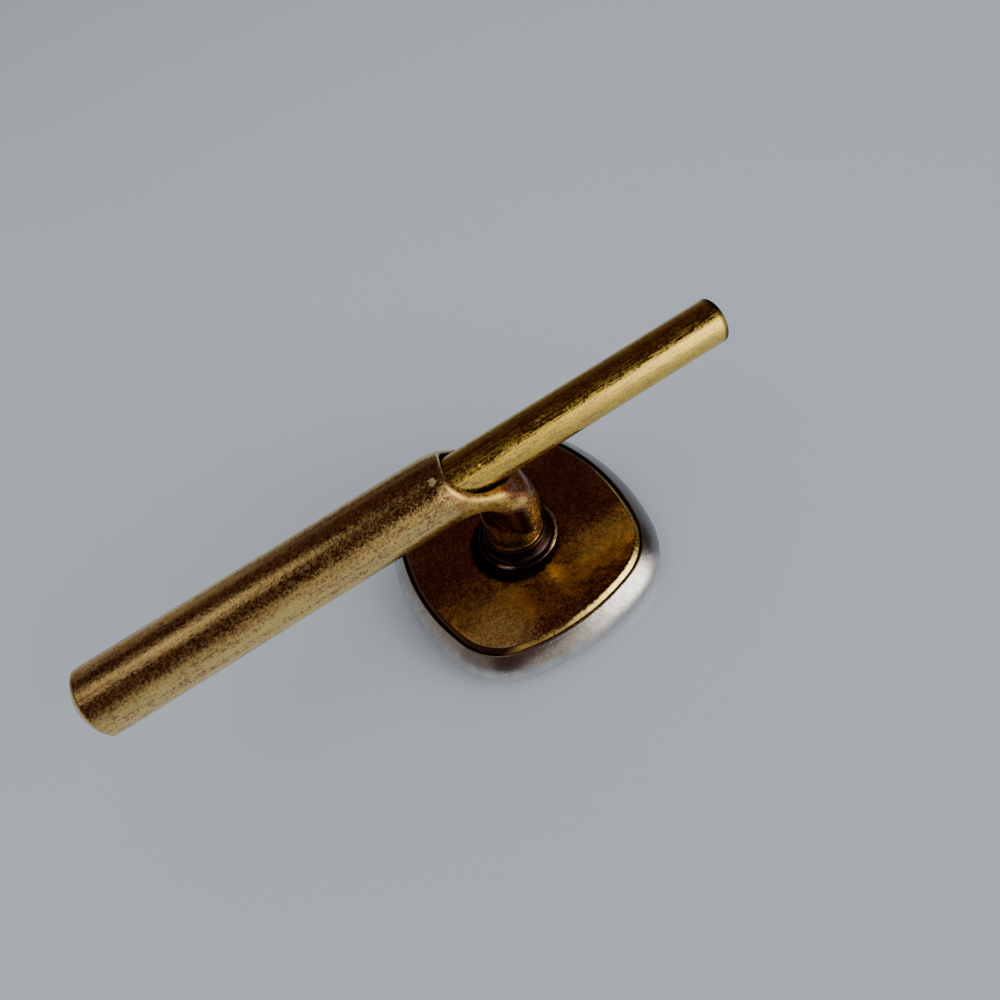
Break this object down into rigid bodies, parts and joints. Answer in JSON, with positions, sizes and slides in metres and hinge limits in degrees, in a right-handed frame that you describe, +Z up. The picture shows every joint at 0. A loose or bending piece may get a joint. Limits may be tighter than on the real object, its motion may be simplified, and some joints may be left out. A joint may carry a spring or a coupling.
{
  "type": "dress stud with a sprung sliding bar",
  "caption": "Dress stud with a rounded square cushion head and a bent tube that stands on its back plate and holds a sprung sliding rod.",
  "frame": {"origin": "centre of the face, on the surface that the stud lies on", "axes": "+Z up the post, away from the face; +X along the bar, towards the free end of the rod"},
  "size_m": [0.0232, 0.0094, 0.0077],
  "materials": {
    "shell_silver": "satin silver, lightly worn",
    "plate_gold": "polished, tarnished brown",
    "tube_gold": "worn rolled gold, tarnished",
    "rod_gold": "worn, streaked along its length"
  },
  "bodies": {
    "stud": {"face_shell": "shell_silver", "back_plate": "plate_gold", "post_collar": "tube_gold", "bent_tube": "tube_gold"},
    "rod": {"sliding_rod": "rod_gold"}
  },
  "joints": [
    {"name": "rod_slide", "type": "slide", "parent": "stud", "child": "rod", "axis": [-1, 0, 0], "range_m": [0, 0.008], "stiffness_N_per_m": 50, "springref_m": -0.008}
  ]
}
